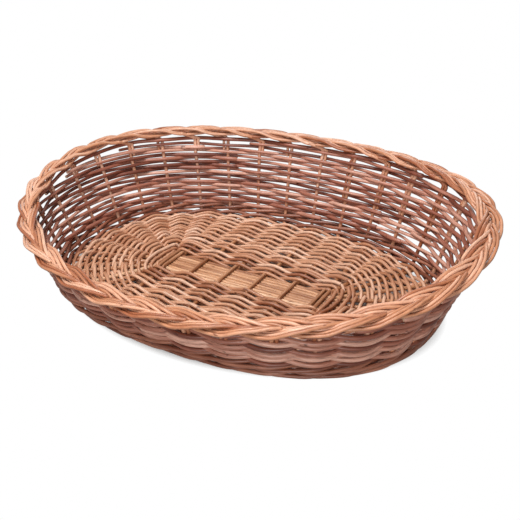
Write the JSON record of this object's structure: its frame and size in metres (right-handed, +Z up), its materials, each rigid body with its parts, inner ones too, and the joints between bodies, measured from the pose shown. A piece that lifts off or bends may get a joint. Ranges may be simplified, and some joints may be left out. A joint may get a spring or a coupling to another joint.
{
  "type": "wicker pet bed basket",
  "caption": "Oval willow pet bed with a woven floor, a low woven wall that dips at the front entrance, and a plaited border.",
  "frame": {"origin": "on the ground under the middle of the basket", "axes": "+X along the length of the oval, -Y towards the low entrance, +Z up"},
  "size_m": [0.6012, 0.4434, 0.1391],
  "materials": {
    "base_stick_willow": "satin",
    "base_weaver_willow": "satin",
    "stake_and_border_willow": "satin",
    "wale_willow": "satin",
    "side_weaver_willow": "satin"
  },
  "bodies": {
    "root": {"back_by_stakes": "stake_and_border_willow", "back_stakes": "stake_and_border_willow", "base_edge_weaver": "base_weaver_willow", "base_weave_inner": "base_weaver_willow", "base_weave_middle": "base_weaver_willow", "base_weave_outer": "base_weaver_willow", "front_by_stakes": "stake_and_border_willow", "front_stakes": "stake_and_border_willow", "high_wale_rod_1": "wale_willow", "high_wale_rod_2": "wale_willow", "high_wale_rod_3": "wale_willow", "left_by_stakes": "stake_and_border_willow", "left_cross_stick_pair": "base_stick_willow", "left_stakes": "stake_and_border_willow", "long_base_sticks": "base_stick_willow", "low_wale_rod_1": "wale_willow", "low_wale_rod_2": "wale_willow", "low_wale_rod_3": "wale_willow", "right_by_stakes": "stake_and_border_willow", "right_cross_stick_pair": "base_stick_willow", "right_stakes": "stake_and_border_willow", "side_weaver_01": "side_weaver_willow", "side_weaver_02": "side_weaver_willow", "side_weaver_03": "side_weaver_willow", "side_weaver_04": "side_weaver_willow", "side_weaver_05": "side_weaver_willow", "side_weaver_06": "side_weaver_willow", "side_weaver_07": "side_weaver_willow", "side_weaver_08": "side_weaver_willow", "side_weaver_09": "side_weaver_willow", "side_weaver_10": "side_weaver_willow", "side_weaver_11": "side_weaver_willow", "side_weaver_12": "side_weaver_willow", "side_weaver_13": "side_weaver_willow", "side_weaver_14": "side_weaver_willow", "side_weaver_15": "side_weaver_willow", "side_weaver_16": "side_weaver_willow", "side_weaver_17": "side_weaver_willow", "side_weaver_18": "side_weaver_willow", "side_weaver_19": "side_weaver_willow", "side_weaver_20": "side_weaver_willow", "single_cross_sticks": "base_stick_willow"}
  },
  "joints": []
}
